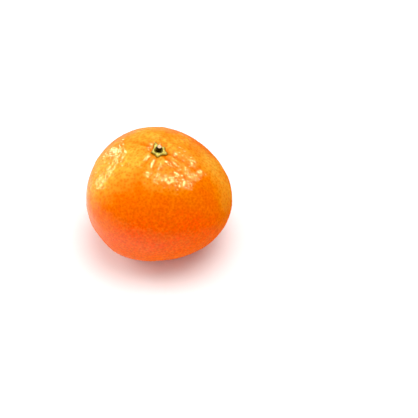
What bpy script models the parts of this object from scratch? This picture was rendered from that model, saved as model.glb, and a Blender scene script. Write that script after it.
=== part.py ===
"""A ripe mandarin as picked: the whole fruit, its five-lobed calyx and the clipped stub of its stem.

Metres, +Z up. The fruit stands on the flat spot round its stylar scar. The origin is in that spot's
plane, under the middle of the fruit. -Y is the side seen in a front view. The fruit grew as one piece,
so it is one solid; the calyx sits in its stem dimple, and the stub stands in the calyx's cup.
"""

import math
import random

import bmesh
import bpy
from mathutils import Vector

MM = 0.001

# The fruit's overall form
EQUATOR_RADIUS = 32.0 * MM
DOME_HEIGHT = 28.0 * MM  # from the equator up to the stem end, before its dimple
BOWL_DEPTH = 24.0 * MM  # from the equator down to the stylar end, before its flat spot
DOME_FULLNESS = 1.96  # superellipse exponent: 2 is an ellipse, more is squarer
BOWL_FULLNESS = 2.12
HIGH_SHOULDER = 0.058  # share by which the dome is higher on one side
HIGH_SHOULDER_AZIMUTH = math.radians(151)
THREE_LOBES = 0.75 * MM  # waves of the girth
THREE_LOBES_AZIMUTH = math.radians(-16)

# Soft swellings and hollows of the skin: azimuth, angle from the stem end, height, spread
SWELLINGS = (
    (-128, 132, 0.90 * MM, 21),
    (-155, 115, -0.45 * MM, 15),
    (-170, 105, 0.40 * MM, 26),
    (15, 50, -0.40 * MM, 28),
    (30, 40, -0.45 * MM, 16),
    (160, 62, 0.50 * MM, 26),
    (100, 112, 0.45 * MM, 26),
)

# The stem end: a dimple with a puffed, crinkled collar and furrows running out from it
STEM_DIMPLE_DEPTH = 1.6 * MM
STEM_DIMPLE_RADIUS = 4.6 * MM
COLLAR_HEIGHT = 0.60 * MM
COLLAR_RADIUS = 6.0 * MM
COLLAR_WIDTH = 2.0 * MM
COLLAR_CRINKLES = 13
CRINKLE_HEIGHT = 0.12 * MM
FURROW_START = (1.5 * MM, 4.5 * MM)  # the furrows deepen between these distances from the stem

# Furrows: azimuth at the calyx, reach outwards, depth, half width, turn of the azimuth on the way out
FURROWS = (
    (155, 14.0 * MM, 1.10 * MM, 1.30 * MM, -8),
    (117, 9.5 * MM, 0.60 * MM, 1.15 * MM, 6),
    (82, 10.5 * MM, 0.75 * MM, 1.20 * MM, -5),
    (47, 9.0 * MM, 0.65 * MM, 1.10 * MM, 8),
    (14, 8.0 * MM, 0.50 * MM, 1.05 * MM, -6),
    (-22, 16.0 * MM, 1.15 * MM, 1.25 * MM, -3),
    (-55, 13.0 * MM, 1.15 * MM, 1.15 * MM, 4),
    (-97, 11.0 * MM, 0.85 * MM, 1.15 * MM, -6),
    (-134, 12.0 * MM, 0.85 * MM, 1.15 * MM, 7),
    (-176, 10.0 * MM, 0.65 * MM, 1.10 * MM, 5),
)

# The stylar end: a flat spot to stand on, with a shallow dimple and the style's scar in it
FLAT_SPOT_RADIUS = 7.5 * MM
STYLAR_DIMPLE_RADIUS = 3.4 * MM
STYLAR_DIMPLE_DEPTH = 0.9 * MM
STYLAR_DIMPLE_FLOOR = 0.2  # share of its radius over which the dimple's floor is level
SCAR_RADIUS = 1.0 * MM
SCAR_HEIGHT = 0.35 * MM
SCAR_TOP = 0.5  # share of its radius over which the scar is level

# The skin's mesh, and its oil-gland pits, which are larger than life to stay within the mesh's size
POINT_SPACING = 1.60 * MM
STEM_END_SPACING = 1.05 * MM
STEM_END_POLAR = math.radians(27)
FLAT_SPOT_RINGS = (5.6 * MM, 3.4 * MM, 2.5 * MM, 1.7 * MM, 0.9 * MM)
RING_TURN = math.radians(137.508)  # each ring of points starts this much further round
RING_CLOSENESS = 0.92  # rings lie closer than the points in them, for even triangles
RING_SPREAD = 0.12  # and this share further apart towards the ends
PIT_DEPTH = (0.20 * MM, 0.34 * MM)
PIT_SEED = 7
PIT_FREE_RADIUS = 5.0 * MM  # no pits nearer to the stem
PIT_FREE_ANGLE = 0.02  # nor this close to the flat spot, in radians

# The calyx: a five-lobed star moulded to the dimple, with a cup for the stem
GAP = 0.3 * MM  # clearance kept between touching pieces
LOBES = ((110, 4.4 * MM), (42, 3.4 * MM), (-22, 4.0 * MM), (-97, 3.8 * MM), (-157, 3.4 * MM))
LOBE_SPREAD = math.radians(19)
NOTCH_RADIUS = 2.65 * MM
HUB_THICKNESS = 1.15 * MM
TIP_THICKNESS = 0.50 * MM
CUP_RADIUS = 1.85 * MM
CUP_DEPTH = 0.5 * MM
CUP_WALL = 0.35 * MM
CALYX_SIDES = 80
CALYX_RINGS = 18

# The stem stub, from the cup's floor to its clipped end
STUB_FOOT_RADIUS = 1.45 * MM
STUB_WAIST_RADIUS = 1.30 * MM
STUB_CUT_RADIUS = 1.15 * MM
STUB_HEIGHT = 1.40 * MM
STUB_WAIST_LEVEL = 0.55 * STUB_HEIGHT
STUB_FOOT_LEVEL = 0.25 * STUB_HEIGHT
STUB_CHAMFER = 0.15 * MM
STUB_SIDES = 32
STUB_LEAN_TO_FRONT = math.radians(6)
STUB_LEAN_TO_RIGHT = math.radians(7)

# Colours in linear light, and roughness
PEEL = ((0.90, 0.20, 0.006), 0.38)
DRY_SEPAL = ((0.62, 0.50, 0.13), 0.6)
BARK = ((0.05, 0.035, 0.015), 0.8)


def smoothstep(low, high, value):
    """0 up to low, 1 from high on, and a smooth rise between."""
    share = min(1.0, max(0.0, (value - low) / (high - low)))
    return share * share * (3 - 2 * share)


def bell(distance, width):
    """A smooth bump: 1 at the middle, and about a third at one width from it."""
    return math.exp(-((distance / width) ** 2))


def turned(azimuth, centre):
    """The angle from centre round to azimuth, between -pi and pi."""
    return math.remainder(azimuth - centre, math.tau)


def unit(azimuth, polar):
    """The direction at this azimuth and angle from the stem end."""
    across = math.sin(polar)
    return Vector((across * math.cos(azimuth), across * math.sin(azimuth), math.cos(polar)))


def polar_at(radius, fullness, below):
    """The angle from the stem end at which the smooth form has this radius, above or below the equator."""
    share = radius / EQUATOR_RADIUS
    polar = math.atan2(share, (1 - share**fullness) ** (1 / fullness))
    return math.pi - polar if below else polar


def swelling(direction):
    """How far the skin's soft swellings and hollows stand out in this direction."""
    total = 0.0
    for azimuth, polar, height, spread in SWELLINGS:
        apart = direction.angle(unit(math.radians(azimuth), math.radians(polar)), 0.0)
        total += height * bell(apart, math.radians(spread))
    return total


def stem_end_relief(azimuth, radius):
    """Height of the stem end's dimple, collar and furrows over the smooth dome."""
    collar = bell(radius - COLLAR_RADIUS, COLLAR_WIDTH)
    relief = COLLAR_HEIGHT * collar - STEM_DIMPLE_DEPTH * bell(radius, STEM_DIMPLE_RADIUS)
    relief += CRINKLE_HEIGHT * collar * math.cos(COLLAR_CRINKLES * azimuth)
    for start, reach, depth, half_width, turn in FURROWS:
        line = math.radians(start + turn * radius / reach)
        aside = turned(azimuth, line)
        if abs(aside) < math.pi / 2:
            across = bell(radius * math.sin(aside), half_width)
            along = smoothstep(*FURROW_START, radius) * bell(radius, reach)
            relief -= depth * across * along
    return relief


def flat_spot_height(radius):
    """Height over the resting plane of the stylar dimple and the scar in it."""
    wall = smoothstep(STYLAR_DIMPLE_FLOOR * STYLAR_DIMPLE_RADIUS, STYLAR_DIMPLE_RADIUS, radius)
    scar_side = smoothstep(SCAR_TOP * SCAR_RADIUS, SCAR_RADIUS, radius)
    return STYLAR_DIMPLE_DEPTH * (1 - wall) - SCAR_HEIGHT * (1 - scar_side)


def smooth_form(azimuth, polar):
    """Radius and height of the fruit's smooth form, before its swellings and its two ends."""
    across, up = abs(math.sin(polar)), math.cos(polar)
    fullness, height = BOWL_FULLNESS, BOWL_DEPTH
    if up > 0:
        fullness = DOME_FULLNESS
        tilt = HIGH_SHOULDER * across * math.cos(azimuth - HIGH_SHOULDER_AZIMUTH)
        height = DOME_HEIGHT * (1 + tilt)
    size = (across**fullness + abs(up) ** fullness) ** (-1 / fullness)
    girth = EQUATOR_RADIUS + THREE_LOBES * math.cos(3 * (azimuth - THREE_LOBES_AZIMUTH))
    return girth * across * size, height * up * size


FLAT_SPOT_POLAR = polar_at(FLAT_SPOT_RADIUS, BOWL_FULLNESS, below=True)
FLAT_SPOT_DEPTH = -smooth_form(0.0, FLAT_SPOT_POLAR)[1]


def skin_point(azimuth, polar):
    """A point of the skin without its pits, in the fruit's own axes: equator at z 0."""
    radius, height = smooth_form(azimuth, polar)
    direction = unit(azimuth, polar)
    point = Vector((radius * math.cos(azimuth), radius * math.sin(azimuth), height))
    point += direction * swelling(direction)
    if direction.z > 0:
        point.z += stem_end_relief(azimuth, radius)
    else:
        point.z = max(point.z, -FLAT_SPOT_DEPTH)
    if polar >= FLAT_SPOT_POLAR:
        point.z = flat_spot_height(radius) - FLAT_SPOT_DEPTH
    return point


def floor_height(azimuth, radius):
    """Height of the stem dimple's floor at this place, in the fruit's own axes."""
    return skin_point(azimuth, polar_at(radius, DOME_FULLNESS, below=False)).z


def point_spacing(polar):
    """How far apart the skin's points are at this angle from the stem end."""
    share = smoothstep(STEM_END_POLAR, 2 * STEM_END_POLAR, polar)
    return STEM_END_SPACING + (POINT_SPACING - STEM_END_SPACING) * share


def ring_polars():
    """Angles from the stem end of the skin's rings of points, closer together at the stem end."""
    polars = [0.0]
    while polars[-1] < FLAT_SPOT_POLAR:
        step = RING_CLOSENESS * point_spacing(polars[-1]) / EQUATOR_RADIUS
        polars.append(polars[-1] + step * (1 + RING_SPREAD * abs(math.cos(polars[-1]))))
    scale = FLAT_SPOT_POLAR / polars[-1]
    rings = [polar * scale for polar in polars]
    rings += [polar_at(radius, BOWL_FULLNESS, below=True) for radius in FLAT_SPOT_RINGS]
    return rings + [math.pi]


def skin_angles():
    """Azimuth and polar angle of every point of the skin's mesh, evenly spread over it."""
    angles = []
    for index, polar in enumerate(ring_polars()):
        around = math.tau * EQUATOR_RADIUS * math.sin(polar)
        count = max(1, round(around / point_spacing(polar)))
        for step in range(count):
            angles.append((RING_TURN * index + math.tau * step / count, polar))
    return angles


def collection(name):
    """A new collection in the scene."""
    made = bpy.data.collections.new(name)
    bpy.context.scene.collection.children.link(made)
    return made


def material(name, look):
    """A plain Principled material with this look: its colour and roughness."""
    colour, roughness = look
    made = bpy.data.materials.new(name)
    made.use_nodes = True
    shader = made.node_tree.nodes["Principled BSDF"]
    shader.inputs["Base Color"].default_value = (*colour, 1.0)
    shader.inputs["Roughness"].default_value = roughness
    shader.inputs["Metallic"].default_value = 0.0
    return made


def piece(name, bm, finish, where, home):
    """An object made from bm, shaded smooth, placed under the parent at where."""
    mesh = bpy.data.meshes.new(name)
    bm.to_mesh(mesh)
    bm.free()
    mesh.shade_smooth()
    mesh.materials.append(finish)
    made = bpy.data.objects.new(name, mesh)
    made.location = where
    home.objects.link(made)
    return made


def choose_pits(bm, angles):
    """Points of the skin that become pits: no two side by side, none at either end of the fruit."""
    order = list(range(len(angles)))
    random.Random(PIT_SEED).shuffle(order)
    lowest = polar_at(PIT_FREE_RADIUS, DOME_FULLNESS, below=False)
    highest = FLAT_SPOT_POLAR - PIT_FREE_ANGLE
    pits = set()
    for index in order:
        if not lowest < angles[index][1] < highest:
            continue
        beside = {edge.other_vert(bm.verts[index]).index for edge in bm.verts[index].link_edges}
        if not beside & pits:
            pits.add(index)
    return sorted(pits)


def make_fruit(home):
    """The whole fruit: a ball of evenly spread points, netted by its convex hull and moved to the skin."""
    angles = skin_angles()
    bm = bmesh.new()
    for azimuth, polar in angles:
        bm.verts.new(unit(azimuth, polar))
    bmesh.ops.convex_hull(bm, input=bm.verts)
    bmesh.ops.triangulate(bm, faces=bm.faces)
    bm.verts.ensure_lookup_table()
    bm.verts.index_update()
    for vert, (azimuth, polar) in zip(bm.verts, angles):
        vert.co = skin_point(azimuth, polar)
    bm.normal_update()
    draw = random.Random(PIT_SEED)
    pits = choose_pits(bm, angles)
    inward = {index: bm.verts[index].normal * draw.uniform(*PIT_DEPTH) for index in pits}
    for index in pits:
        bm.verts[index].co -= inward[index]
    return piece("fruit", bm, material("orange_peel", PEEL), Vector((0, 0, 0)), home)


def calyx_reach(azimuth):
    """How far the star of the calyx reaches from its middle at this azimuth."""
    reach = NOTCH_RADIUS
    for lobe, tip in LOBES:
        reach += (tip - NOTCH_RADIUS) * bell(turned(azimuth, math.radians(lobe)), LOBE_SPREAD)
    return reach


def calyx_thickness(share, radius):
    """Thickness of the calyx at this share of its reach, with the cup for the stem sunk into it."""
    plain = TIP_THICKNESS + (HUB_THICKNESS - TIP_THICKNESS) * (1 - share**3)
    return plain - CUP_DEPTH * (1 - smoothstep(CUP_RADIUS, CUP_RADIUS + CUP_WALL, radius))


def make_calyx(home):
    """The calyx: a ball flattened to the star's outline, its underside following the dimple's floor."""
    bm = bmesh.new()
    bmesh.ops.create_uvsphere(bm, u_segments=CALYX_SIDES, v_segments=CALYX_RINGS, radius=1.0)
    middle = floor_height(0.0, 0.0)
    for vert in bm.verts:
        azimuth = math.atan2(vert.co.y, vert.co.x)
        share = min(1.0, math.hypot(vert.co.x, vert.co.y))
        radius = share * calyx_reach(azimuth)
        rise = (1 + max(-1.0, min(1.0, vert.co.z))) / 2
        height = floor_height(azimuth, radius) - middle + GAP + calyx_thickness(share, radius) * rise
        vert.co = (radius * math.cos(azimuth), radius * math.sin(azimuth), height)
    return piece("calyx", bm, material("dry_sepal", DRY_SEPAL), Vector((0, 0, middle)), home)


def make_stem_stub(home):
    """The clipped stem: a turned stub that stands in the calyx's cup, leaning a little."""
    profile = (
        (0.0, STUB_HEIGHT),
        (STUB_CUT_RADIUS - STUB_CHAMFER, STUB_HEIGHT),
        (STUB_CUT_RADIUS, STUB_HEIGHT - STUB_CHAMFER),
        (STUB_WAIST_RADIUS, STUB_WAIST_LEVEL),
        (STUB_FOOT_RADIUS, STUB_FOOT_LEVEL),
        (STUB_FOOT_RADIUS, 0.0),
        (0.0, 0.0),
    )
    bm = bmesh.new()
    verts = [bm.verts.new((radius, 0.0, height)) for radius, height in profile]
    for above, below in zip(verts, verts[1:]):
        bm.edges.new((above, below))
    cup_floor = floor_height(0.0, 0.0) + GAP + HUB_THICKNESS - CUP_DEPTH
    foot_drop = STUB_FOOT_RADIUS * math.sin(math.hypot(STUB_LEAN_TO_FRONT, STUB_LEAN_TO_RIGHT))
    stub = piece("stem_stub", bm, material("stem_bark", BARK), Vector((0, 0, cup_floor + GAP + foot_drop)), home)
    stub.rotation_euler = (STUB_LEAN_TO_FRONT, STUB_LEAN_TO_RIGHT, 0.0)
    screw = stub.modifiers.new("turn", "SCREW")
    screw.axis = "Z"
    screw.steps = screw.render_steps = STUB_SIDES
    screw.use_merge_vertices = True
    screw.merge_threshold = 0.01 * MM
    return stub


def stand_on_origin(fruit, others):
    """Hangs the pieces from one empty that puts the flat spot's plane and the fruit's middle at the origin."""
    xs = [vert.co.x for vert in fruit.data.vertices]
    ys = [vert.co.y for vert in fruit.data.vertices]
    stand = bpy.data.objects.new("mandarin", None)
    stand.location = (-(min(xs) + max(xs)) / 2, -(min(ys) + max(ys)) / 2, FLAT_SPOT_DEPTH)
    fruit.users_collection[0].objects.link(stand)
    for made in (fruit, *others):
        made.parent = stand


def main():
    for old in list(bpy.data.objects):
        bpy.data.objects.remove(old)
    home = collection("Mandarin")
    fruit = make_fruit(home)
    stand_on_origin(fruit, (make_calyx(home), make_stem_stub(home)))


main()
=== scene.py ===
"""The looks of a whole ripe mandarin, with its pitted glossy rind, star-shaped calyx and clipped stem.

Everything is in metres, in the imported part's own frame: +Z up, the plane that the fruit rests on at z 0, and
-Y towards the camera. Angles in the fields are degrees, and the phases of waves are radians. An azimuth turns
from +X towards +Y, and a polar angle is measured from the stem end.
"""

import logging
import math
from dataclasses import dataclass
from enum import Enum

import bmesh
import bpy
import numpy as np
from mathutils import Matrix, Vector, kdtree, noise


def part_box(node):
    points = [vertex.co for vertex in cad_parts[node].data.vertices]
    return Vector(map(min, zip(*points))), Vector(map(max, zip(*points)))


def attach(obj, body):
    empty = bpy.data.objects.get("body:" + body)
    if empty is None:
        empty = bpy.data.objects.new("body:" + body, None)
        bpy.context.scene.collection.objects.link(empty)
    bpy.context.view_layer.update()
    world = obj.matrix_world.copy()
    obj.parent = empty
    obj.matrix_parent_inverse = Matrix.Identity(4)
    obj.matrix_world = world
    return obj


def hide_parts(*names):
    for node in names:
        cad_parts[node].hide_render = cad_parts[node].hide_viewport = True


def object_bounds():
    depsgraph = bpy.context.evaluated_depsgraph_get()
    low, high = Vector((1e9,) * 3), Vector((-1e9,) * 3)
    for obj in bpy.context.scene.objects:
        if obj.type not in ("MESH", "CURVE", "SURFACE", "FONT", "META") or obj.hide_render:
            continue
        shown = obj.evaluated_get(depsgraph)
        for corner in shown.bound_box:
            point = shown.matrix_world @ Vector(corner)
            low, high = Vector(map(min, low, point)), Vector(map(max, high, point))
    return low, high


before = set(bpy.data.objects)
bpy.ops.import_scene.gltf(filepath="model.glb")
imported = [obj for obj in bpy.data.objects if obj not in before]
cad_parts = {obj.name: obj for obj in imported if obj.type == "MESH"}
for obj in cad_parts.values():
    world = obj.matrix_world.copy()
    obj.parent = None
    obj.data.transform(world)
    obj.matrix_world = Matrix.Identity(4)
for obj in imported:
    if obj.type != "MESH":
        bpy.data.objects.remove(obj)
CAD_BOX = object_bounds()

MM = 0.001
BODY = "root"
log = logging.getLogger("mandarin")


class Slot(Enum):
    """The record's material slots."""

    PEEL = "peel"
    CALYX = "calyx"
    STEM = "stem"


class Layer(Enum):
    """Numbers stored at each point of a mesh, which the materials read."""

    PORE = "pore"
    # Painted shade in the furrows.
    FURROW_SHADE = "furrow"
    SCAR = "scar"
    # Painted shade in the gap along the calyx's edge.
    CREVICE_SHADE = "crevice"
    # The sepals' darker edge: partly drying, partly painted shade.
    EDGE = "edge"
    # Painted shade in the calyx's cup round the stem.
    CUP_SHADE = "cup"
    GRAIN = "grain"


class Reach(Enum):
    """What a lamp lights: the colour of things, or the gloss on them."""

    COLOUR = "colour"
    GLOSS = "gloss"


def linear(code: str) -> tuple[float, float, float, float]:
    """Turns an sRGB hex colour into the linear colour that Blender's sockets take.

    Args:
        code: The colour as "#RRGGBB".

    Returns:
        Red, green, blue and an alpha of 1.
    """
    shares = [int(code[start : start + 2], 16) / 255 for start in (1, 3, 5)]
    lit = [share / 12.92 if share <= 0.04045 else ((share + 0.055) / 1.055) ** 2.4 for share in shares]
    return (*lit, 1.0)


def add(
    tree: bpy.types.NodeTree, kind: str, settings: dict | None = None, links: dict | None = None
) -> bpy.types.Node:
    """Adds one node with its settings and links.

    Args:
        tree: The material's or world's node tree.
        kind: The node's type, without the word ShaderNode.
        settings: Values by the name or number of an input, by the name of a property, or as "stops", a ramp's
            list of places and colours.
        links: The sockets that feed this node, by the name or number of its input.

    Returns:
        The new node.
    """
    made = tree.nodes.new("ShaderNode" + kind)
    for name, value in (settings or {}).items():
        if name == "stops":
            while len(made.color_ramp.elements) < len(value):
                made.color_ramp.elements.new(1.0)
            for stop, (place, colour) in zip(made.color_ramp.elements, value):
                stop.position = place
                stop.color = colour
        elif isinstance(name, int) or name in made.inputs:
            made.inputs[name].default_value = value
        else:
            setattr(made, name, value)
    for name, socket in (links or {}).items():
        tree.links.new(socket, made.inputs[name])
    return made


def new_material(name: str) -> tuple[bpy.types.Material, bpy.types.NodeTree]:
    """Makes an empty material that uses nodes.

    Args:
        name: The material's name.

    Returns:
        The material and its node tree.
    """
    made = bpy.data.materials.new(name)
    made.use_nodes = True
    made.node_tree.nodes.clear()
    return made, made.node_tree


def stored(tree: bpy.types.NodeTree, layer: Layer) -> bpy.types.NodeSocket:
    """Reads one of the numbers that are stored at the mesh's points."""
    return add(tree, "Attribute", {"attribute_name": layer.value}).outputs["Fac"]


def speckle(
    tree: bpy.types.NodeTree, place: bpy.types.NodeSocket, size: float, detail: float = 2.0
) -> bpy.types.NodeSocket:
    """Noise over the surface, its blots of this size in metres, between 0 and 1."""
    settings = {"Scale": 1 / size, "Detail": detail}
    return add(tree, "TexNoise", settings, {"Vector": place}).outputs["Fac"]


def rescale(
    tree: bpy.types.NodeTree,
    value: bpy.types.NodeSocket,
    span: tuple[float, float],
    onto: tuple[float, float],
) -> bpy.types.NodeSocket:
    """Stretches the values of a span onto another one, and holds them at its ends."""
    settings = {"From Min": span[0], "From Max": span[1], "To Min": onto[0], "To Max": onto[1]}
    return add(tree, "MapRange", settings, {"Value": value}).outputs["Result"]


def lay_over(
    tree: bpy.types.NodeTree, under: bpy.types.NodeSocket, code: str, share: bpy.types.NodeSocket
) -> bpy.types.NodeSocket:
    """Lays a colour over another one, as far as the share between 0 and 1 says."""
    settings = {"data_type": "RGBA", 7: linear(code)}
    return add(tree, "Mix", settings, {0: share, 6: under}).outputs[2]


def roughen(
    tree: bpy.types.NodeTree, relief: bpy.types.NodeSocket, strength: float, distance: float
) -> bpy.types.NodeSocket:
    """Tilts the surface by a relief too fine for the mesh, up to this distance high."""
    settings = {"Strength": strength, "Distance": distance}
    return add(tree, "Bump", settings, {"Height": relief}).outputs["Normal"]


def coat_surface(tree: bpy.types.NodeTree, settings: dict, links: dict) -> None:
    """Gives a material its one shader, with these settings and links."""
    shader = add(tree, "BsdfPrincipled", settings, links)
    add(tree, "OutputMaterial", links={"Surface": shader.outputs["BSDF"]})


def smoothstep(low: float, high: float, value: np.ndarray) -> np.ndarray:
    """Rises smoothly from 0 up to low to 1 from high on."""
    share = np.clip((value - low) / (high - low), 0.0, 1.0)
    return share * share * (3 - 2 * share)


def bell(distance: np.ndarray, width: float) -> np.ndarray:
    """A smooth bump: 1 at the middle, and about a third at one width from it."""
    return np.exp(-((distance / width) ** 2))


def turned(azimuth: np.ndarray, centre: np.ndarray | float) -> np.ndarray:
    """The angle from centre round to azimuth, between -pi and pi."""
    return (azimuth - centre + math.pi) % math.tau - math.pi


def placed(azimuth: np.ndarray, radius: np.ndarray, height: np.ndarray) -> np.ndarray:
    """Points, one a row, at these azimuths, distances from the axis and heights."""
    return np.stack([radius * np.cos(azimuth), radius * np.sin(azimuth), height], axis=-1)


def unit(azimuth: np.ndarray, polar: np.ndarray) -> np.ndarray:
    """Directions, one a row, at these azimuths and polar angles."""
    return placed(azimuth, np.sin(polar), np.cos(polar))


def to_mesh(bm: bmesh.types.BMesh, name: str) -> bpy.types.Mesh:
    """Makes a mesh of what was built in bmesh, and frees that."""
    mesh = bpy.data.meshes.new(name)
    bm.to_mesh(mesh)
    bm.free()
    return mesh


def ball_mesh(name: str, sides: int, rings: int) -> bpy.types.Mesh:
    """A ball of radius 1 in sides and rings, which a piece then bends into its own form."""
    bm = bmesh.new()
    bmesh.ops.create_uvsphere(bm, u_segments=sides, v_segments=rings, radius=1.0)
    return to_mesh(bm, name)


def store(mesh: bpy.types.Mesh, layer: Layer, values: np.ndarray) -> None:
    """Keeps one number for each point of the mesh, for a material to read."""
    attribute = mesh.attributes.new(layer.value, "FLOAT", "POINT")
    attribute.data.foreach_set("value", values.astype(np.float32))


def read_points(mesh: bpy.types.Mesh) -> np.ndarray:
    """The mesh's points, one a row."""
    flat = np.zeros(len(mesh.vertices) * 3)
    mesh.vertices.foreach_get("co", flat)
    return flat.reshape(-1, 3)


def write_points(mesh: bpy.types.Mesh, points: np.ndarray) -> None:
    """Moves the mesh's points to these places."""
    mesh.vertices.foreach_set("co", points.astype(np.float32).ravel())
    mesh.update()


def read_normals(mesh: bpy.types.Mesh) -> np.ndarray:
    """The mesh's outward directions at its points, one a row."""
    flat = np.zeros(len(mesh.vertices) * 3)
    mesh.vertex_normals.foreach_get("vector", flat)
    return flat.reshape(-1, 3)


def show(name: str, mesh: bpy.types.Mesh, node: str) -> bpy.types.Object:
    """Puts a finished mesh in the scene as the piece that stands for a CAD node.

    Args:
        name: The piece's name.
        mesh: Its mesh, placed in the part's frame.
        node: The CAD node that it replaces.

    Returns:
        The piece.
    """
    mesh.shade_smooth()
    made = bpy.data.objects.new(name, mesh)
    bpy.context.scene.collection.objects.link(made)
    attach(made, BODY)
    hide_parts(node)
    log.info("%s: %d points", name, len(mesh.vertices))
    return made


@dataclass(frozen=True)
class CitrusPeel:
    """Fresh citrus rind: waxed, glossy over a translucent skin, with an oil gland in each pit.

    The wax gives the eye sharp glints on the rims of the pits, and it is rubbed thinner on one side. The
    light that gets into the skin comes out deep orange, so the shaded side stays warm. The stem end is more
    golden, partly as the rind's own colour and partly as painted light on the top, and the outermost sides
    are painted more golden as a painted sheen. Paler speckles are painted highlight, and the furrows and the
    gap round the calyx get painted shade.
    """

    # More golden towards the stem end: partly the rind's own colour, partly painted light for the brighter-lit
    # top.
    colour_by_height: tuple[tuple[float, str], ...] = (
        (0.30, "#FA5C01"),
        (0.56, "#F64E00"),
        (0.80, "#E06604"),
        (0.93, "#E09228"),
        (1.0, "#E0AC3C"),
    )
    blush: str = "#DA4C02"
    # Painted highlight: paler speckles stand in for light caught on the pits' rims.
    lip_highlight: str = "#F68420"
    gland: str = "#CC4402"
    # Painted shade on the furrows' floors.
    furrow_shade_colour: str = "#D85A03"
    scar: str = "#8A5A2B"
    # Painted shade for the gap along the calyx's edge.
    crevice: str = "#5A2A04"
    bloom: str = "#E0C040"
    patch_size: float = 16 * MM
    patch_noise: tuple[float, float] = (0.3, 0.7)
    patch_shift: float = 0.09
    # Painted sheen: the skin is painted more golden towards its outermost sides, left and right.
    limb_sheen_sides: tuple[float, float] = (17 * MM, 31 * MM)
    limb_sheen_shift: float = 0.28
    blush_size: float = 2.2 * MM
    blush_noise: tuple[float, float] = (0.45, 0.75)
    blush_share: float = 0.35
    # Size, noise span and share of the painted highlight speckles.
    lip_highlight_size: float = 0.9 * MM
    lip_highlight_noise: tuple[float, float] = (0.42, 0.68)
    lip_highlight_share: float = 0.42
    gland_share: float = 0.55
    grain_size: float = 0.45 * MM
    grain_height: float = 0.05 * MM
    wax_by_height: tuple[tuple[float, float], ...] = (
        (0.32, 0.45),
        (0.48, 0.90),
        (0.72, 0.26),
        (0.92, 0.30),
    )
    rubbed_across: tuple[float, float] = (-14 * MM, 31 * MM)
    wax_left: float = 0.03
    roughness: float = 0.32
    pit_roughness: float = 0.46

    def material(self, height: float) -> bpy.types.Material:
        """Makes the peel's material.

        Args:
            height: The fruit's height, over which it turns from golden to deep orange.

        Returns:
            The material.
        """
        made, tree = new_material("citrus_peel")
        place = add(tree, "TexCoord").outputs["Object"]
        sideways, _, rise = add(tree, "SeparateXYZ", links={0: place}).outputs
        ripe = rescale(tree, rise, (0.0, height), (0.0, 1.0))
        grain = speckle(tree, place, self.grain_size)
        settings = {
            "IOR": 1.45,
            "Specular IOR Level": 0.0,
            "Subsurface Weight": 0.10,
            "Subsurface Radius": (1.0, 0.30, 0.10),
            "Subsurface Scale": 0.8 * MM,
            "Sheen Weight": 0.15,
            "Sheen Roughness": 0.55,
            "Sheen Tint": linear(self.bloom),
            "Coat Roughness": 0.02,
            "Coat IOR": 1.45,
        }
        pit_share = stored(tree, Layer.PORE)
        links = {
            "Base Color": self.colour(tree, place, ripe, sideways),
            "Coat Weight": self.wax(tree, ripe, sideways),
            "Roughness": rescale(tree, pit_share, (0.0, 1.0), (self.roughness, self.pit_roughness)),
            "Normal": roughen(tree, grain, strength=0.12, distance=self.grain_height),
        }
        coat_surface(tree, settings, links)
        return made

    def colour(
        self,
        tree: bpy.types.NodeTree,
        place: bpy.types.NodeSocket,
        ripe: bpy.types.NodeSocket,
        sideways: bpy.types.NodeSocket,
    ) -> bpy.types.NodeSocket:
        """Colours the skin by height, in patches, with blush, glands, scar and painted light.

        Args:
            tree: The material's node tree.
            place: The place of a point in the part's frame.
            ripe: The point's share of the fruit's height.
            sideways: How far the point is to the right of the fruit's middle.

        Returns:
            The skin's colour.
        """
        patches = speckle(tree, place, self.patch_size, 3.0)
        patchy = rescale(tree, patches, self.patch_noise, (-self.patch_shift, self.patch_shift))
        # Painted sheen: more golden towards the outermost sides, left and right.
        off_middle = add(tree, "Math", {"operation": "ABSOLUTE"}, {0: sideways}).outputs[0]
        golden = rescale(tree, off_middle, self.limb_sheen_sides, (0.0, self.limb_sheen_shift))
        patched = add(tree, "Math", {"operation": "ADD"}, {0: ripe, 1: patchy}).outputs[0]
        uneven = add(tree, "Math", {"operation": "ADD"}, {0: patched, 1: golden}).outputs[0]
        # Golden towards the top: partly the rind's own colour, partly painted light on the top.
        stops = [(rise, linear(code)) for rise, code in self.colour_by_height]
        skin = add(tree, "ValToRGB", {"stops": stops}, {0: uneven}).outputs["Color"]
        mottles = speckle(tree, place, self.blush_size, 4.0)
        # Painted highlight: paler speckles for light caught on the pits' rims.
        lip_highlights = speckle(tree, place, self.lip_highlight_size, 1.0)
        pit_share = stored(tree, Layer.PORE)
        coats = (
            (self.blush, rescale(tree, mottles, self.blush_noise, (0.0, self.blush_share))),
            (self.lip_highlight, rescale(tree, lip_highlights, self.lip_highlight_noise, (0.0, self.lip_highlight_share))),
            (self.gland, rescale(tree, pit_share, (0.0, 1.0), (0.0, self.gland_share))),
            # Painted shade in the furrows, darker where they are deeper.
            (self.furrow_shade_colour, stored(tree, Layer.FURROW_SHADE)),
            (self.scar, stored(tree, Layer.SCAR)),
            # Painted shade in the gap along the calyx's edge.
            (self.crevice, stored(tree, Layer.CREVICE_SHADE)),
        )
        for code, share in coats:
            skin = lay_over(tree, skin, code, share)
        return skin

    def wax(
        self, tree: bpy.types.NodeTree, ripe: bpy.types.NodeSocket, sideways: bpy.types.NodeSocket
    ) -> bpy.types.NodeSocket:
        """How much wax lies on the skin, by height and by how far a point is to the rubbed side.

        Args:
            tree: The material's node tree.
            ripe: The point's share of the fruit's height.
            sideways: How far the point is to the right of the fruit's middle.

        Returns:
            The weight of the wax, between 0 and 1.
        """
        stops = [(rise, (share, share, share, 1.0)) for rise, share in self.wax_by_height]
        waxed = add(tree, "ValToRGB", {"stops": stops}, {0: ripe}).outputs["Color"]
        rubbed = rescale(tree, sideways, self.rubbed_across, (1.0, self.wax_left))
        return add(tree, "Math", {"operation": "MULTIPLY"}, {0: waxed, 1: rubbed}).outputs[0]


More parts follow.
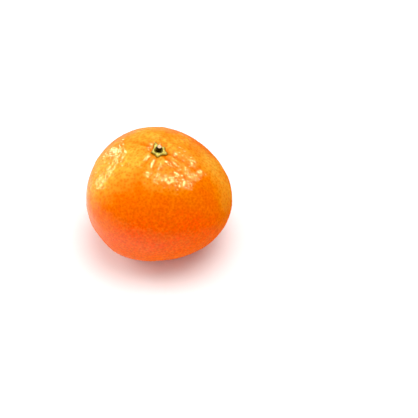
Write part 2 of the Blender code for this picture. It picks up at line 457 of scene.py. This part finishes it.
@dataclass(frozen=True)
class DrySepal:
    """The calyx's dried green tissue: matte, a little corky, browner at its edges as drying and painted shade.
    """

    flesh: str = "#D8C862"
    green: str = "#ABA23C"
    # Browner edges: partly drying, partly painted shade along them.
    dry_and_shaded_edge: str = "#6E5A1A"
    # Painted shade in the cup round the stem.
    cup: str = "#4A3E12"
    roughness: float = 0.62
    fleck_size: float = 0.7 * MM
    cork_size: float = 0.18 * MM
    cork_height: float = 0.05 * MM

    def material(self) -> bpy.types.Material:
        """Makes the calyx's material."""
        made, tree = new_material("dry_sepal")
        place = add(tree, "TexCoord").outputs["Object"]
        flecks = speckle(tree, place, self.fleck_size, 4.0)
        stops = [(0.35, linear(self.green)), (0.6, linear(self.flesh))]
        tissue = add(tree, "ValToRGB", {"stops": stops}, {0: flecks}).outputs["Color"]
        # The edges darken: partly drying, partly painted shade.
        dried = lay_over(tree, tissue, self.dry_and_shaded_edge, stored(tree, Layer.EDGE))
        cork = speckle(tree, place, self.cork_size, 3.0)
        settings = {"Roughness": self.roughness, "IOR": 1.45, "Specular IOR Level": 0.1}
        links = {
            # Painted shade in the cup round the stem.
            "Base Color": lay_over(tree, dried, self.cup, stored(tree, Layer.CUP_SHADE)),
            "Normal": roughen(tree, cork, strength=0.4, distance=self.cork_height),
        }
        coat_surface(tree, settings, links)
        return made


@dataclass(frozen=True)
class StemBark:
    """The stem's green-brown skin, nearly black, streaked darker along the stem."""

    bark: str = "#3A3016"
    shadowed: str = "#1B1508"
    roughness: float = 0.7
    streak_size: float = 0.35 * MM
    streak_height: float = 0.06 * MM
    stretch_along: float = 5

    def material(self) -> bpy.types.Material:
        """Makes the bark's material, streaked along the stem."""
        made, tree = new_material("stem_bark")
        place = add(tree, "TexCoord").outputs["Object"]
        along = add(tree, "Mapping", {"Scale": (1.0, 1.0, 1 / self.stretch_along)}, {"Vector": place})
        streaks = speckle(tree, along.outputs["Vector"], self.streak_size, 3.0)
        stops = [(0.4, linear(self.shadowed)), (0.65, linear(self.bark))]
        settings = {"Roughness": self.roughness, "Specular IOR Level": 0.1}
        links = {
            "Base Color": add(tree, "ValToRGB", {"stops": stops}, {0: streaks}).outputs["Color"],
            "Normal": roughen(tree, streaks, strength=0.5, distance=self.streak_height),
        }
        coat_surface(tree, settings, links)
        return made


@dataclass(frozen=True)
class CutStem:
    """The clipped end of the stem: pale fresh wood round a darker pith, with the bark's dark rim."""

    pith: str = "#B98E62"
    wood: str = "#DDB58E"
    rim: str = "#3A2A10"
    roughness: float = 0.55
    fibre_size: float = 0.15 * MM
    fibre_height: float = 0.05 * MM
    fibre_noise: tuple[float, float] = (0.3, 0.7)
    uneven: float = 0.07

    def material(self) -> bpy.types.Material:
        """Makes the cut end's material, ringed by how far a point is from the middle of the cut."""
        made, tree = new_material("cut_stem")
        place = add(tree, "TexCoord").outputs["Object"]
        fibres = speckle(tree, place, self.fibre_size, 3.0)
        rough = rescale(tree, fibres, self.fibre_noise, (-self.uneven, self.uneven))
        outward = stored(tree, Layer.GRAIN)
        ring = add(tree, "Math", {"operation": "ADD"}, {0: outward, 1: rough}).outputs[0]
        stops = [
            (0.14, linear(self.pith)),
            (0.30, linear(self.wood)),
            (0.74, linear(self.wood)),
            (0.90, linear(self.rim)),
        ]
        settings = {"Roughness": self.roughness, "Specular IOR Level": 0.1}
        links = {
            "Base Color": add(tree, "ValToRGB", {"stops": stops}, {0: ring}).outputs["Color"],
            "Normal": roughen(tree, fibres, strength=0.4, distance=self.fibre_height),
        }
        coat_surface(tree, settings, links)
        return made


@dataclass(frozen=True)
class WhitePaper:
    """The studio's matt white paper, which sends light back up under the fruit."""

    white: str = "#F3F2F1"
    shade: str = "#EFEEED"
    roughness: float = 0.9
    cloud_size: float = 90 * MM

    def material(self) -> bpy.types.Material:
        """Makes the paper's material."""
        made, tree = new_material("white_paper")
        place = add(tree, "TexCoord").outputs["Object"]
        clouds = speckle(tree, place, self.cloud_size)
        stops = [(0.3, linear(self.shade)), (0.7, linear(self.white))]
        colour = add(tree, "ValToRGB", {"stops": stops}, {0: clouds}).outputs["Color"]
        settings = {"Roughness": self.roughness, "Specular IOR Level": 0.0}
        coat_surface(tree, settings, {"Base Color": colour})
        return made


@dataclass(frozen=True)
class Swelling:
    """A soft swelling of the rind, or a hollow where its height is below zero."""

    azimuth: float
    polar: float
    height: float
    spread: float


@dataclass(frozen=True)
class Furrow:
    """A fold of the rind that runs out from the calyx and turns a little on its way."""

    azimuth: float
    reach: float
    depth: float
    half_width: float
    turn: float


@dataclass(frozen=True)
class Rind:
    """The form of the fruit's skin as formulas, in its own axes: the equator at z 0, the stem end up."""

    equator_radius: float = 32.0 * MM
    dome_height: float = 28.0 * MM
    bowl_depth: float = 24.0 * MM
    dome_fullness: float = 1.96
    bowl_fullness: float = 2.12
    high_shoulder: float = 0.058
    high_shoulder_azimuth: float = 151
    three_lobes: float = 0.75 * MM
    three_lobes_azimuth: float = -16
    stem_dimple_depth: float = 1.6 * MM
    stem_dimple_radius: float = 4.6 * MM
    collar_height: float = 0.60 * MM
    collar_radius: float = 6.0 * MM
    collar_width: float = 2.0 * MM
    collar_crinkles: int = 13
    crinkle_height: float = 0.12 * MM
    furrow_start: tuple[float, float] = (1.5 * MM, 4.5 * MM)
    flat_spot_radius: float = 7.5 * MM
    stylar_dimple_radius: float = 3.4 * MM
    stylar_dimple_depth: float = 0.9 * MM
    stylar_dimple_floor: float = 0.2
    scar_radius: float = 1.0 * MM
    scar_height: float = 0.35 * MM
    scar_top: float = 0.5
    swellings: tuple[Swelling, ...] = (
        Swelling(-128, 132, 0.90 * MM, 21),
        Swelling(-155, 115, -0.45 * MM, 15),
        Swelling(-170, 105, 0.40 * MM, 26),
        Swelling(15, 50, -0.40 * MM, 28),
        Swelling(30, 40, -0.45 * MM, 16),
        Swelling(160, 62, 0.50 * MM, 26),
        Swelling(100, 112, 0.45 * MM, 26),
    )
    furrows: tuple[Furrow, ...] = (
        Furrow(155, 14.0 * MM, 1.10 * MM, 1.30 * MM, -8),
        Furrow(117, 9.5 * MM, 0.60 * MM, 1.15 * MM, 6),
        Furrow(82, 10.5 * MM, 0.75 * MM, 1.20 * MM, -5),
        Furrow(47, 9.0 * MM, 0.65 * MM, 1.10 * MM, 8),
        Furrow(14, 8.0 * MM, 0.50 * MM, 1.05 * MM, -6),
        Furrow(-22, 16.0 * MM, 1.15 * MM, 1.25 * MM, -3),
        Furrow(-55, 13.0 * MM, 1.15 * MM, 1.15 * MM, 4),
        Furrow(-97, 11.0 * MM, 0.85 * MM, 1.15 * MM, -6),
        Furrow(-134, 12.0 * MM, 0.85 * MM, 1.15 * MM, 7),
        Furrow(-176, 10.0 * MM, 0.65 * MM, 1.10 * MM, 5),
    )

    def polar_at(self, radius: np.ndarray | float, fullness: float) -> np.ndarray:
        """The polar angle, above the equator, at which a form of this fullness has this radius."""
        share = np.asarray(radius) / self.equator_radius
        return np.arctan2(share, (1 - share**fullness) ** (1 / fullness))

    def flat_spot_polar(self) -> float:
        """The polar angle at which the flat spot's edge lies."""
        return math.pi - float(self.polar_at(self.flat_spot_radius, self.bowl_fullness))

    def foot_depth(self) -> float:
        """How far the plane that the fruit rests on lies under the equator."""
        _, height = self.smooth_form(np.zeros(1), np.array([self.flat_spot_polar()]))
        return -float(height[0])

    def smooth_form(self, azimuth: np.ndarray, polar: np.ndarray) -> tuple[np.ndarray, np.ndarray]:
        """The form before its swellings and its two ends.

        Args:
            azimuth: Azimuths, in radians.
            polar: Polar angles, in radians.

        Returns:
            The radius from the fruit's axis and the height over the equator.
        """
        across = np.abs(np.sin(polar))
        up = np.cos(polar)
        dome = up > 0
        fullness = np.where(dome, self.dome_fullness, self.bowl_fullness)
        tilt = self.high_shoulder * across * np.cos(azimuth - math.radians(self.high_shoulder_azimuth))
        height = np.where(dome, self.dome_height * (1 + tilt), self.bowl_depth)
        size = (across**fullness + np.abs(up) ** fullness) ** (-1 / fullness)
        waves = np.cos(3 * (azimuth - math.radians(self.three_lobes_azimuth)))
        girth = self.equator_radius + self.three_lobes * waves
        return girth * across * size, height * up * size

    def swelling(self, directions: np.ndarray) -> np.ndarray:
        """How far the soft swellings and hollows stand out in these directions."""
        total = np.zeros(len(directions))
        for each in self.swellings:
            centre = unit(np.radians(each.azimuth), np.radians(each.polar))
            apart = np.arccos(np.clip(directions @ centre, -1.0, 1.0))
            total += each.height * bell(apart, math.radians(each.spread))
        return total

    def folds(self, azimuth: np.ndarray, radius: np.ndarray) -> np.ndarray:
        """How deep the furrows are here, in metres."""
        total = np.zeros(len(azimuth))
        for each in self.furrows:
            aside = turned(azimuth, np.radians(each.azimuth + each.turn * radius / each.reach))
            near = np.abs(aside) < math.pi / 2
            across = bell(radius * np.sin(aside), each.half_width)
            along = smoothstep(*self.furrow_start, radius) * bell(radius, each.reach)
            total += np.where(near, each.depth * across * along, 0.0)
        return total

    def stem_end_relief(self, azimuth: np.ndarray, radius: np.ndarray) -> np.ndarray:
        """Height of the stem end's dimple, collar and furrows over the smooth dome."""
        collar = bell(radius - self.collar_radius, self.collar_width)
        relief = self.collar_height * collar - self.stem_dimple_depth * bell(radius, self.stem_dimple_radius)
        relief += self.crinkle_height * collar * np.cos(self.collar_crinkles * azimuth)
        return relief - self.folds(azimuth, radius)

    def flat_spot_height(self, radius: np.ndarray) -> np.ndarray:
        """Height over the resting plane of the stylar dimple and the scar in it."""
        rise = smoothstep(self.stylar_dimple_floor, 1.0, radius / self.stylar_dimple_radius)
        scar = 1 - smoothstep(self.scar_top, 1.0, radius / self.scar_radius)
        return self.stylar_dimple_depth * (1 - rise) - self.scar_height * scar

    def points(self, azimuth: np.ndarray, polar: np.ndarray) -> np.ndarray:
        """Points of the skin without its pits.

        Args:
            azimuth: Azimuths, in radians.
            polar: Polar angles, in radians.

        Returns:
            The points, one a row, in the fruit's own axes.
        """
        radius, height = self.smooth_form(azimuth, polar)
        directions = unit(azimuth, polar)
        made = placed(azimuth, radius, height)
        made += directions * self.swelling(directions)[:, None]
        dome = directions[:, 2] > 0
        foot = -self.foot_depth()
        above = made[:, 2] + self.stem_end_relief(azimuth, radius)
        made[:, 2] = np.where(dome, above, np.maximum(made[:, 2], foot))
        flat = polar >= self.flat_spot_polar()
        made[:, 2] = np.where(flat, foot + self.flat_spot_height(radius), made[:, 2])
        return made

    def floor_height(self, azimuth: np.ndarray, radius: np.ndarray) -> np.ndarray:
        """Height of the stem dimple's floor at these places."""
        return self.points(azimuth, self.polar_at(radius, self.dome_fullness))[:, 2]


@dataclass
class Fruit:
    """The fruit itself: a fine skin with an oil-gland pit every millimetre and a half or so."""

    rind: Rind
    peel: CitrusPeel
    pore_spacing: float = 1.55 * MM
    pore_jitter: float = 0.30
    pore_radius: tuple[float, float] = (0.42 * MM, 0.66 * MM)
    pore_depth: tuple[float, float] = (0.06 * MM, 0.17 * MM)
    ripple_size: float = 5.0 * MM
    ripple_height: float = 0.16 * MM
    goose_size: float = 1.2 * MM
    goose_height: float = 0.10 * MM
    foot_fade: tuple[float, float] = (1.0 * MM, 0.1 * MM)
    smooth_under_calyx: float = 3.0 * MM
    # How deep a furrow is where its painted shade is full, and how dark that painted shade may get.
    furrow_shade_full_depth: float = 1.25 * MM
    darkest_furrow_shade: float = 0.8
    # Width and strength of the painted shade just outside the calyx's edge.
    crevice_shade_width: float = 0.35 * MM
    crevice_shade_share: float = 0.6
    scar_edge: tuple[float, float] = (0.6 * MM, 1.5 * MM)
    seed: int = 11

    def pore_directions(self, draw: np.random.Generator) -> np.ndarray:
        """Scatters the pores evenly over a ball.

        Args:
            draw: The source of random numbers.

        Returns:
            The pores' directions from the middle of the fruit, one a row.
        """
        radius = self.rind.equator_radius
        count = int(4 * math.pi * (radius / self.pore_spacing) ** 2)
        index = np.arange(count) + 0.5
        even = unit(index * math.pi * (3 - math.sqrt(5)), np.arccos(1 - 2 * index / count))
        loose = even + draw.normal(0.0, self.pore_jitter * self.pore_spacing / radius, even.shape)
        return loose / np.linalg.norm(loose, axis=1)[:, None]

    def net(self, directions: np.ndarray) -> bpy.types.Mesh:
        """Nets a ball between the pores and cuts each triangle in sixteen.

        Each pore then has one point at its floor and rings of points round its wall.

        Args:
            directions: The pores' directions.

        Returns:
            The mesh, its points on the unit sphere.
        """
        bm = bmesh.new()
        for direction in directions:
            bm.verts.new(direction)
        bmesh.ops.convex_hull(bm, input=bm.verts)
        bmesh.ops.triangulate(bm, faces=bm.faces)
        bmesh.ops.subdivide_edges(bm, edges=bm.edges, cuts=3, use_grid_fill=True)
        mesh = to_mesh(bm, "fruit_skin")
        ball = read_points(mesh)
        write_points(mesh, ball / np.linalg.norm(ball, axis=1)[:, None])
        return mesh

    def pore_field(
        self, points: np.ndarray, directions: np.ndarray, draw: np.random.Generator
    ) -> tuple[np.ndarray, np.ndarray]:
        """Pits the skin with its pores.

        Args:
            points: The skin's points, in the fruit's own axes.
            directions: The pores' directions.
            draw: The source of random numbers.

        Returns:
            For each point, how deep the pit is there, in metres, and how far into a pore it is, from 0 to 1.
        """
        count = len(directions)
        polar = np.arccos(np.clip(directions[:, 2], -1.0, 1.0))
        seeds = self.rind.points(np.arctan2(directions[:, 1], directions[:, 0]), polar)
        sizes = draw.uniform(*self.pore_radius, count)
        depths = draw.uniform(*self.pore_depth, count)
        tree = kdtree.KDTree(count)
        for number, seed in enumerate(seeds):
            tree.insert(seed, number)
        tree.balance()
        pit = np.zeros(len(points))
        inside = np.zeros(len(points))
        for number, point in enumerate(points):
            for _, nearest, distance in tree.find_n(point, 2):
                share = math.exp(-((distance / sizes[nearest]) ** 2))
                pit[number] = max(pit[number], depths[nearest] * share)
                inside[number] = max(inside[number], share)
        return pit, inside

    def relief(self, points: np.ndarray, pit: np.ndarray, free: np.ndarray) -> np.ndarray:
        """The fine relief of the skin: long ripples, goose skin and pits.

        Args:
            points: The skin's points, in the fruit's own axes.
            pit: How deep a pit is at each point, in metres.
            free: For each point 1, or less where the fruit rests on the floor.

        Returns:
            How far each point is lifted, in metres.
        """
        ripple = np.array([noise.noise(Vector(p) / self.ripple_size) for p in points])
        goose = np.array([noise.noise(Vector(p) / self.goose_size) for p in points])
        lift = (self.ripple_height * ripple + self.goose_height * goose - pit) * free
        radius = np.hypot(points[:, 0], points[:, 1])
        under_calyx = (points[:, 2] > 0) & (radius < self.smooth_under_calyx)
        return np.where(under_calyx, 0.0, lift)

    def mark(self, mesh: bpy.types.Mesh, points: np.ndarray, azimuth: np.ndarray, calyx: "Calyx") -> None:
        """Stores where the skin is painted darker: painted shade in the furrows and along the calyx's edge,
        and the stylar scar's brown.

        Args:
            mesh: The skin.
            points: Its points before their fine relief, in the fruit's own axes.
            azimuth: The azimuths that the points were made at, in radians.
            calyx: The calyx that stands on it.
        """
        radius = np.hypot(points[:, 0], points[:, 1])
        dome = points[:, 2] > 0
        folds = np.where(dome, self.rind.folds(azimuth, radius), 0.0)
        # Painted shade in the furrows, darker where they are deeper.
        store(mesh, Layer.FURROW_SHADE, np.clip(folds / self.furrow_shade_full_depth, 0.0, self.darkest_furrow_shade))
        past = np.maximum(radius - calyx.reach(azimuth), 0.0)
        # Painted shade in the gap just outside the calyx's edge.
        store(mesh, Layer.CREVICE_SHADE, self.crevice_shade_share * dome * bell(past, self.crevice_shade_width))
        store(mesh, Layer.SCAR, np.where(dome, 0.0, 1 - smoothstep(*self.scar_edge, radius)))

    def build(self, calyx: "Calyx") -> tuple[bpy.types.Object, Vector]:
        """Builds the skin over the CAD fruit and dresses it.

        Args:
            calyx: The calyx, along whose edge the skin gets painted shade.

        Returns:
            The piece, and the place in the part's frame of the middle of the fruit's equator.
        """
        draw = np.random.default_rng(self.seed)
        pores = self.pore_directions(draw)
        mesh = self.net(pores)
        sphere = read_points(mesh)
        polar = np.arccos(np.clip(sphere[:, 2], -1.0, 1.0))
        azimuth = np.arctan2(sphere[:, 1], sphere[:, 0])
        points = self.rind.points(azimuth, polar)
        low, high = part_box("fruit")
        centre = (points.max(axis=0) + points.min(axis=0)) / 2
        middle = Vector(((low.x + high.x) / 2 - centre[0], (low.y + high.y) / 2 - centre[1], 0.0))
        middle.z = low.z + self.rind.foot_depth()
        write_points(mesh, points)
        normals = read_normals(mesh)
        pit, inside = self.pore_field(points, pores, draw)
        foot = self.rind.foot_depth()
        fade_start, fade_end = self.foot_fade
        free = 1 - smoothstep(foot - fade_start, foot - fade_end, -points[:, 2])
        lift = self.relief(points, pit, free)
        write_points(mesh, points + normals * lift[:, None] + np.array(middle))
        store(mesh, Layer.PORE, inside * free)
        self.mark(mesh, points, azimuth, calyx)
        mesh.materials.append(self.peel.material(high.z - low.z))
        return show("mandarin_skin", mesh, "fruit"), middle


@dataclass(frozen=True)
class Lobe:
    """One sepal of the calyx's star: where its tip points and how far it reaches."""

    azimuth: float
    reach: float


@dataclass
class Calyx:
    """The star of sepals that stays on the fruit, moulded to the stem dimple, with a cup for the stem."""

    rind: Rind
    sepal: DrySepal
    lobes: tuple[Lobe, ...] = (
        Lobe(110, 4.4 * MM),
        Lobe(42, 3.4 * MM),
        Lobe(-22, 4.0 * MM),
        Lobe(-97, 3.8 * MM),
        Lobe(-157, 3.4 * MM),
    )
    lobe_spread: float = 19
    notch_radius: float = 2.65 * MM
    hub_thickness: float = 1.45 * MM
    tip_thickness: float = 0.80 * MM
    sink: float = 0.05 * MM
    rib_height: float = 0.16 * MM
    rib_width: float = 0.55 * MM
    cup_radius: float = 1.85 * MM
    cup_depth: float = 0.5 * MM
    cup_wall: float = 0.35 * MM
    ragged: float = 0.10 * MM
    ragged_waves: tuple[tuple[int, float], ...] = ((11, 0.7), (23, 2.0))
    mean_reach: float = 4.0 * MM
    cork_size: float = 0.8 * MM
    cork_height: float = 0.10 * MM
    # Where and how far the sepals' edges darken: partly drying, partly painted shade.
    edge_darkening_from: float = 0.72
    edge_darkness: float = 0.9
    # How strong the painted shade in the cup is.
    cup_painted_shade: float = 0.9
    sides: int = 220
    rings: int = 60

    def reach(self, azimuth: np.ndarray) -> np.ndarray:
        """How far the star reaches at these azimuths, its edge a little ragged."""
        total = np.full(len(azimuth), self.notch_radius)
        for lobe in self.lobes:
            aside = turned(azimuth, math.radians(lobe.azimuth))
            total += (lobe.reach - self.notch_radius) * bell(aside, math.radians(self.lobe_spread))
        waves = sum(np.sin(count * azimuth + phase) for count, phase in self.ragged_waves)
        return total + self.ragged * waves / len(self.ragged_waves)

    def ribs(self, azimuth: np.ndarray, radius: np.ndarray) -> np.ndarray:
        """Height of the rib along the middle of each sepal."""
        total = np.zeros(len(azimuth))
        for lobe in self.lobes:
            aside = turned(azimuth, math.radians(lobe.azimuth))
            across = bell(radius * np.sin(aside), self.rib_width)
            total += np.where(np.abs(aside) < math.pi / 2, across, 0.0)
        return self.rib_height * total * smoothstep(self.cup_radius, self.notch_radius, radius)

    def build(self, middle: Vector) -> bpy.types.Object:
        """Builds the calyx in the stem dimple.

        Args:
            middle: The middle of the fruit's equator, in the part's frame.

        Returns:
            The piece.
        """
        mesh = ball_mesh("calyx_star", self.sides, self.rings)
        ball = read_points(mesh)
        azimuth = np.arctan2(ball[:, 1], ball[:, 0])
        share = np.minimum(1.0, np.hypot(ball[:, 0], ball[:, 1]))
        radius = share * self.reach(azimuth)
        rise = (1 + np.clip(ball[:, 2], -1.0, 1.0)) / 2
        cup = 1 - smoothstep(self.cup_radius, self.cup_radius + self.cup_wall, radius)
        thick = self.tip_thickness + (self.hub_thickness - self.tip_thickness) * (1 - share**3)
        lumps = self.mean_reach / self.cork_size
        cork = np.array([noise.noise(Vector(p) * lumps) for p in ball])
        thick += self.ribs(azimuth, radius) - self.cup_depth * cup + self.cork_height * cork * (1 - cup)
        floor = self.rind.floor_height(azimuth, radius)
        height = floor - self.sink + thick * rise
        write_points(mesh, placed(azimuth, radius, height) + np.array(middle))
        # The edges darken: partly drying, partly painted shade.
        store(mesh, Layer.EDGE, smoothstep(self.edge_darkening_from, 1.0, share) * self.edge_darkness)
        # Painted shade in the cup round the stem.
        store(mesh, Layer.CUP_SHADE, cup * self.cup_painted_shade)
        mesh.materials.append(self.sepal.material())
        return show("calyx_star", mesh, "calyx")


@dataclass
class StemStub:
    """The clipped stem, leaning a little in the calyx's cup, its cut set off towards the back right."""

    bark: StemBark
    cut: CutStem
    cut_share: float = 0.72
    cut_offset: tuple[float, float] = (0.16 * MM, 0.14 * MM)
    cap_polar: float = 60
    round_over: float = 0.10 * MM
    round_from: float = 0.75
    widening: tuple[float, float] = (0.15, 0.8)
    inset: float = 0.05 * MM
    root: float = 0.35 * MM
    ridges: int = 7
    ridge_height: float = 0.07 * MM
    ridge_phase: float = 0.6
    ridge_start: float = 0.25
    roughening: float = 0.03 * MM
    lumps_across: float = 5.0
    lean_to_front: float = 6
    lean_to_right: float = 7
    sides: int = 96
    rings: int = 80

    def build(self, middle: Vector) -> bpy.types.Object:
        """Builds the stub where the CAD stub stands.

        Args:
            middle: The middle of the fruit's equator, which is on the stem's axis.

        Returns:
            The piece.
        """
        low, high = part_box("stem_stub")
        foot_radius = (high.y - low.y) / 2 - self.inset
        height = high.z - low.z
        mesh = ball_mesh("stem_stub", self.sides, self.rings)
        ball = read_points(mesh)
        azimuth = np.arctan2(ball[:, 1], ball[:, 0])
        polar = np.arccos(np.clip(ball[:, 2], -1.0, 1.0))
        cap_polar = math.radians(self.cap_polar)
        flank_share = np.clip((polar - cap_polar) / (math.pi - 2 * cap_polar), 0.0, 1.0)
        cap_share = np.clip(polar / cap_polar, 0.0, 1.0)
        foot_share = np.clip((math.pi - polar) / cap_polar, 0.0, 1.0)
        flank = self.cut_share + (1 - self.cut_share) * smoothstep(*self.widening, flank_share)
        ridge = self.ridge_height * np.cos(self.ridges * azimuth + self.ridge_phase)
        ridge *= np.minimum(1.0, flank_share / self.ridge_start)
        radius = (foot_radius * flank + ridge) * cap_share * foot_share
        level = height * (1 - flank_share)
        rim_drop = self.round_over * smoothstep(self.round_from, 1.0, cap_share) * (flank_share == 0)
        rough = self.roughening * np.array([noise.noise(Vector(p) * self.lumps_across) for p in ball])
        level = level - rim_drop + rough - self.root * (flank_share >= 1)
        points = placed(azimuth, radius, level)
        points[:, :2] += np.array(self.cut_offset) * smoothstep(0.0, 1.0, 1 - flank_share)[:, None]
        to_right = Matrix.Rotation(math.radians(self.lean_to_right), 3, "Y")
        tilt = np.array(to_right @ Matrix.Rotation(math.radians(self.lean_to_front), 3, "X"))
        write_points(mesh, points @ tilt.T + np.array((middle.x, middle.y, low.z)))
        store(mesh, Layer.GRAIN, np.where(flank_share > 0, 1.0, cap_share))
        mesh.materials.append(self.bark.material())
        mesh.materials.append(self.cut.material())
        for face in mesh.polygons:
            on_cut = all(flank_share[corner] == 0 for corner in face.vertices)
            face.material_index = 1 if on_cut else 0
        return show("stem_stub_clipped", mesh, "stem_stub")


@dataclass(frozen=True)
class Softbox:
    """A round studio light whose front changes from one brightness in the middle to another at its rim.

    The middle and rim are shares of the radiance, and the two turns are where the change starts and ends, as
    shares of the way from the middle to the rim. The open side says which way on its front, across and up,
    the light stays bright: the other half is covered.
    """

    name: str
    direction: tuple[float, float, float]
    distance: float
    width: float
    radiance: float
    middle: float
    rim: float
    turns: tuple[float, float]
    reach: Reach
    colour: str = "#FFFFFF"
    open_side: tuple[float, float] = (0.0, 0.0)
    cover_edge: tuple[float, float] = (-0.10, 0.20)

    def place(self, target: Vector) -> None:
        """Hangs the light and turns it to the target."""
        light = bpy.data.lights.new(self.name, "AREA")
        light.shape = "DISK"
        light.size = self.width
        light.energy = self.radiance * (math.pi * self.width / 2) ** 2
        self.shade(light)
        made = bpy.data.objects.new(self.name, light)
        away = Vector(self.direction).normalized()
        made.location = target + away * self.distance
        made.rotation_euler = away.to_track_quat("Z", "Y").to_euler()
        made.visible_camera = False
        made.visible_diffuse = self.reach is not Reach.GLOSS
        made.visible_glossy = self.reach is not Reach.COLOUR
        bpy.context.scene.collection.objects.link(made)

    def shade(self, light: bpy.types.AreaLight) -> None:
        """Makes the front change in brightness between the middle and the rim."""
        light.use_nodes = True
        tree = light.node_tree
        tree.nodes.clear()
        across = add(tree, "NewGeometry").outputs["Parametric"]
        outward = add(tree, "VectorMath", {"operation": "DISTANCE", 1: (0.5, 0.5, 0.0)}, {0: across})
        settings = {
            "interpolation_type": "SMOOTHSTEP",
            "From Min": self.turns[0] / 2,
            "From Max": self.turns[1] / 2,
            "To Min": self.middle,
            "To Max": self.rim,
        }
        glow = add(tree, "MapRange", settings, {"Value": outward.outputs["Value"]}).outputs["Result"]
        if self.open_side != (0.0, 0.0):
            away = {"operation": "SUBTRACT", 1: (0.5, 0.5, 0.0)}
            offset = add(tree, "VectorMath", away, {0: across}).outputs[0]
            towards = {"operation": "DOT_PRODUCT", 1: (*self.open_side, 0.0)}
            sideways = add(tree, "VectorMath", towards, {0: offset}).outputs["Value"]
            settings = {
                "interpolation_type": "SMOOTHSTEP",
                "From Min": self.cover_edge[0],
                "From Max": self.cover_edge[1],
            }
            shown = add(tree, "MapRange", settings, {"Value": sideways}).outputs["Result"]
            glow = add(tree, "Math", {"operation": "MULTIPLY"}, {0: glow, 1: shown}).outputs[0]
        front = add(tree, "Emission", {"Color": linear(self.colour)}, {"Strength": glow})
        add(tree, "OutputLight", links={"Surface": front.outputs[0]})


@dataclass
class Studio:
    """A white paper sweep under soft light, and the camera at the photograph's angle."""

    paper: WhitePaper
    floor_size: float = 6.0
    bright_wall: float = 0.70
    dim_wall: float = 0.22
    towards_bright: tuple[float, float, float] = (-0.60, -0.80, 0.0)
    black_level: float = 0.012
    lights: tuple[Softbox, ...] = (
        Softbox("key_softbox", (0.20, 0.14, 0.97), 0.60, 0.76, 4.2, 1.0, 0.6, (0.0, 1.0), Reach.COLOUR),
        Softbox("front_softbox", (0.10, -0.86, 0.48), 0.70, 0.90, 0.45, 1.0, 0.6, (0.0, 1.0), Reach.COLOUR),
        Softbox("side_softbox", (-0.86, 0.30, 0.42), 0.60, 0.70, 5.0, 1.0, 0.0, (0.1, 1.0), Reach.COLOUR),
        Softbox(
            "key_window", (0.25, 0.38, 0.885), 0.50, 0.62, 320.0, 0.0, 1.0, (0.82, 0.89),
            Reach.GLOSS, "#FFE09C", (-0.98, 0.18),
        ),
        Softbox(
            "side_window", (-0.75, 0.65, 0.11), 0.50, 0.34, 66.0, 0.03, 1.0, (0.70, 0.84),
            Reach.GLOSS, "#FFE7B4",
        ),
    )
    frame_pixels: int = 418
    fruit_pixel: tuple[float, float] = (158.6, 195.3)
    pixels_per_mm: float = 2.264
    distance: float = 600 * MM
    elevation: float = 45.05
    near_clip: float = 10 * MM

    def build(self, middle: Vector) -> None:
        """Sets up the floor, the room's light, the lamps and the camera.

        Args:
            middle: The middle of the fruit's equator, which the camera's place is measured from.
        """
        self.lay_floor()
        self.light_room()
        for lamp in self.lights:
            lamp.place(middle)
        self.stand_camera(middle)
        view = bpy.context.scene.view_settings
        view.view_transform = "Standard"
        view.use_curve_mapping = True
        view.curve_mapping.black_level = (self.black_level,) * 3
        view.curve_mapping.update()

    def lay_floor(self) -> None:
        """Lays the white paper in the plane that the fruit rests on."""
        bm = bmesh.new()
        bmesh.ops.create_grid(bm, x_segments=8, y_segments=8, size=self.floor_size / 2)
        mesh = to_mesh(bm, "paper_floor")
        mesh.materials.append(self.paper.material())
        floor = bpy.data.objects.new("paper_floor", mesh)
        floor.location.z = CAD_BOX[0].z
        bpy.context.scene.collection.objects.link(floor)

    def light_room(self) -> None:
        """Fills the room with light that fades from the wall at the front left to the far right corner."""
        world = bpy.data.worlds.new("white_room")
        world.use_nodes = True
        tree = world.node_tree
        tree.nodes.clear()
        towards = add(tree, "TexCoord").outputs["Generated"]
        facing = add(
            tree, "VectorMath", {"operation": "DOT_PRODUCT", 1: self.towards_bright}, {0: towards}
        ).outputs["Value"]
        settings = {
            "interpolation_type": "SMOOTHSTEP",
            "From Min": -1.0,
            "To Min": self.dim_wall,
            "To Max": self.bright_wall,
        }
        glow = add(tree, "MapRange", settings, {"Value": facing})
        room = add(tree, "Background", {"Color": (1.0, 1.0, 1.0, 1.0)}, {"Strength": glow.outputs["Result"]})
        add(tree, "OutputWorld", links={"Surface": room.outputs[0]})
        bpy.context.scene.world = world

    def stand_camera(self, middle: Vector) -> None:
        """Puts the camera where the photograph was taken from, the fruit a little left of the middle.

        Args:
            middle: The middle of the fruit's equator.
        """
        rise = math.radians(self.elevation)
        back = Vector((0.0, -math.cos(rise), math.sin(rise)))
        right = Vector((1.0, 0.0, 0.0))
        up = back.cross(right)
        focal = self.pixels_per_mm * self.distance / MM
        half = self.frame_pixels / 2
        aim = -back * focal + right * (half - self.fruit_pixel[0]) + up * (self.fruit_pixel[1] - half)
        aim.normalize()
        stem_in_view = aim.cross(Vector((0.0, 0.0, 1.0)).cross(-back))
        upright = stem_in_view.normalized()
        camera = bpy.data.cameras.new("photo_camera")
        camera.angle = 2 * math.atan(half / focal)
        camera.clip_start = self.near_clip
        made = bpy.data.objects.new("photo_camera", camera)
        turn = Matrix((aim.cross(upright), upright, -aim)).transposed()
        made.matrix_world = Matrix.Translation(middle + back * self.distance) @ turn.to_4x4()
        bpy.context.scene.collection.objects.link(made)
        bpy.context.scene.camera = made


def main() -> None:
    """Builds the pieces in order, then the studio round them."""
    logging.basicConfig(level=logging.INFO, format="%(name)s: %(message)s")
    rind = Rind()
    calyx = Calyx(rind, DrySepal())
    _, middle = Fruit(rind, CitrusPeel()).build(calyx)
    calyx.build(middle)
    StemStub(StemBark(), CutStem()).build(middle)
    Studio(WhitePaper()).build(middle)


if __name__ == "__main__":
    main()
